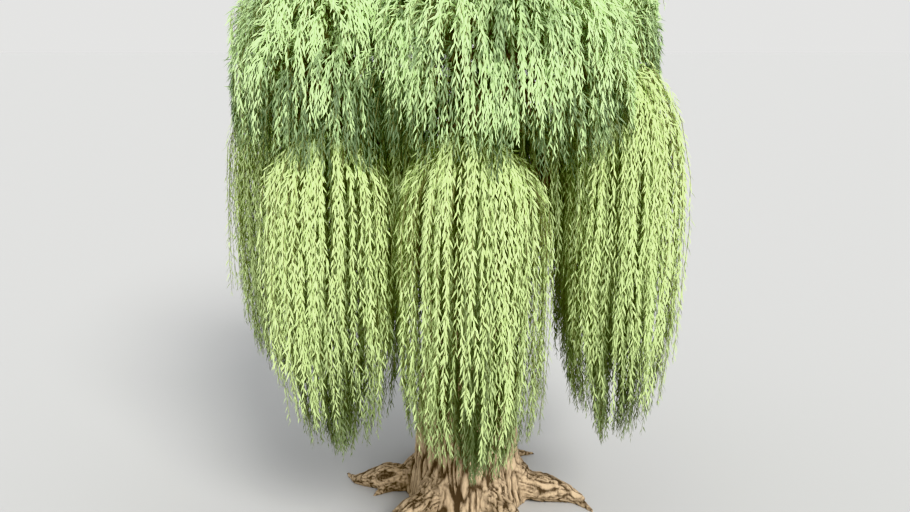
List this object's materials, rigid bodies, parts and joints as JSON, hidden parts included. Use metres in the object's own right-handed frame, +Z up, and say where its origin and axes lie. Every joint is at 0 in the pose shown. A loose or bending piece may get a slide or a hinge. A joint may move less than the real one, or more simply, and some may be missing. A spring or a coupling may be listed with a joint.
{
  "type": "weeping willow tree",
  "caption": "Stout weeping willow in full leaf, with a domed crown, long curtains of hanging foliage round an open space, and surface roots.",
  "frame": {"origin": "centre of the trunk's flat cut at ground level", "axes": "+Z up along the trunk, -Y towards the front view of the tree, +X to the right in that view"},
  "size_m": [6.6553, 6.6278, 9.2],
  "materials": {
    "bark": "rough furrowed bark, grey-brown",
    "crown_leaves": "narrow matt leaves, fresh mid green",
    "curtain_leaves": "narrow matt leaves, yellow-green"
  },
  "bodies": {
    "root": {"trunk": "bark", "surface_root_right": "bark", "surface_root_back_right": "bark", "surface_root_back_left": "bark", "surface_root_left": "bark", "surface_root_front_left": "bark", "surface_root_front_right": "bark", "bough_front": "bark", "bough_right": "bark", "bough_back_right": "bark", "bough_back": "bark", "bough_back_left": "bark", "bough_left": "bark", "bough_front_left": "bark", "bough_leader": "bark", "crown_lobe_front": "crown_leaves", "crown_lobe_left": "crown_leaves", "crown_lobe_right": "crown_leaves", "crown_lobe_back_right": "crown_leaves", "crown_lobe_back_left": "crown_leaves", "crown_lobe_top": "crown_leaves", "curtain_front": "curtain_leaves", "curtain_right": "curtain_leaves", "curtain_back_right": "curtain_leaves", "curtain_back": "curtain_leaves", "curtain_back_left": "curtain_leaves", "curtain_left": "curtain_leaves", "curtain_front_left": "curtain_leaves"}
  },
  "joints": []
}
